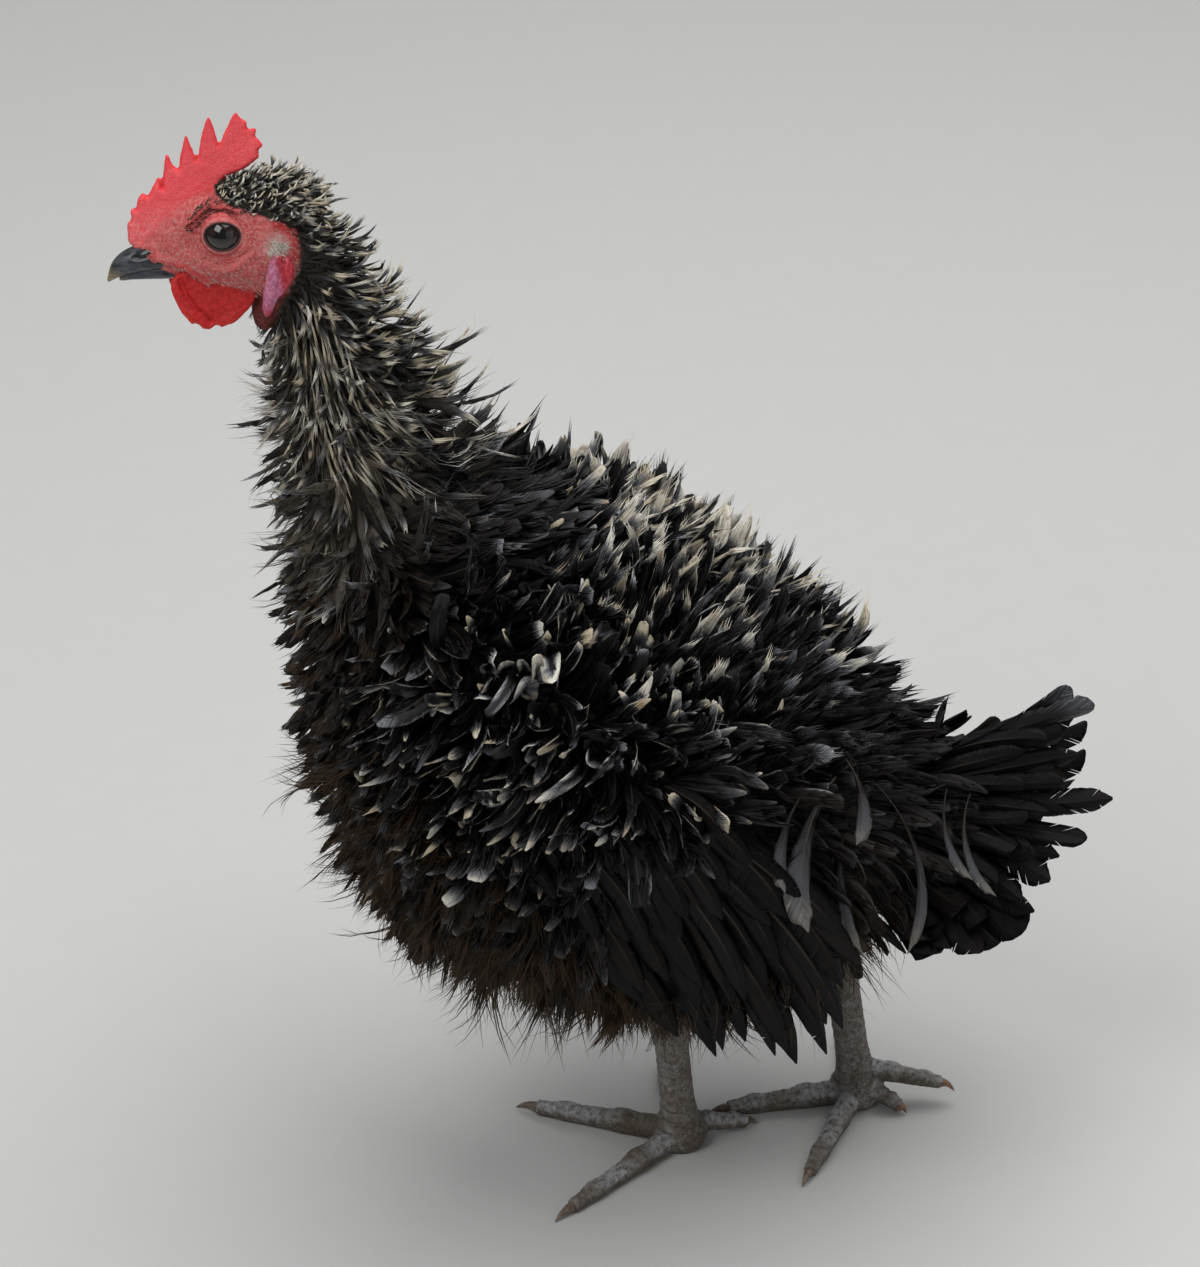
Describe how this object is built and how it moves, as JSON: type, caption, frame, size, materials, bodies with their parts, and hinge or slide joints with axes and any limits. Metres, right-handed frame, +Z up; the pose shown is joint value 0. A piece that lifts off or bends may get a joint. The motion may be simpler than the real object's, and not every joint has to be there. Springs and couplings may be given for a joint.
{
  "type": "frizzle chicken",
  "caption": "Life-size still model of a young frizzle cockerel in mid step, with outward-curling feathers, a single comb, wattles and scaled feet.",
  "frame": {"origin": "on the floor, below the middle of the bird's bounding box", "axes": "+Z up; the bird faces -X with its left side towards -Y; +X runs from the bill to the tail"},
  "size_m": [0.3347, 0.1816, 0.393],
  "materials": {
    "black_plumage": "glossy black feathers with pale edges on the back and sides",
    "neck_plumage": "grey-brown down with straw-tipped feathers",
    "red_skin": "bright red, pebbled bare skin",
    "face_skin": "red, wrinkled bare skin with fine hairs",
    "lobe_skin": "mulberry skin with a red rim",
    "horn": "dark, satin horn",
    "eye": "dark brown, wet gloss",
    "leg_scale": "grey, scaled skin"
  },
  "bodies": {
    "root": {"bill_lower": "horn", "bill_upper": "horn", "claw_left_hind": "horn", "claw_left_inner": "horn", "claw_left_middle": "horn", "claw_left_outer": "horn", "claw_right_extra": "horn", "claw_right_hind": "horn", "claw_right_inner": "horn", "claw_right_middle": "horn", "claw_right_outer": "horn", "comb": "red_skin", "ear_lobe_left": "lobe_skin", "ear_lobe_right": "lobe_skin", "eye_left": "eye", "eye_right": "eye", "head": "face_skin", "neck": "neck_plumage", "shank_left": "leg_scale", "shank_right": "leg_scale", "shin_left": "black_plumage", "shin_right": "black_plumage", "tail": "black_plumage", "toe_left_hind": "leg_scale", "toe_left_inner": "leg_scale", "toe_left_middle": "leg_scale", "toe_left_outer": "leg_scale", "toe_right_extra": "leg_scale", "toe_right_hind": "leg_scale", "toe_right_inner": "leg_scale", "toe_right_middle": "leg_scale", "toe_right_outer": "leg_scale", "torso": "black_plumage", "wattle_left": "red_skin", "wattle_right": "red_skin", "wing_left": "black_plumage", "wing_right": "black_plumage"}
  },
  "joints": []
}
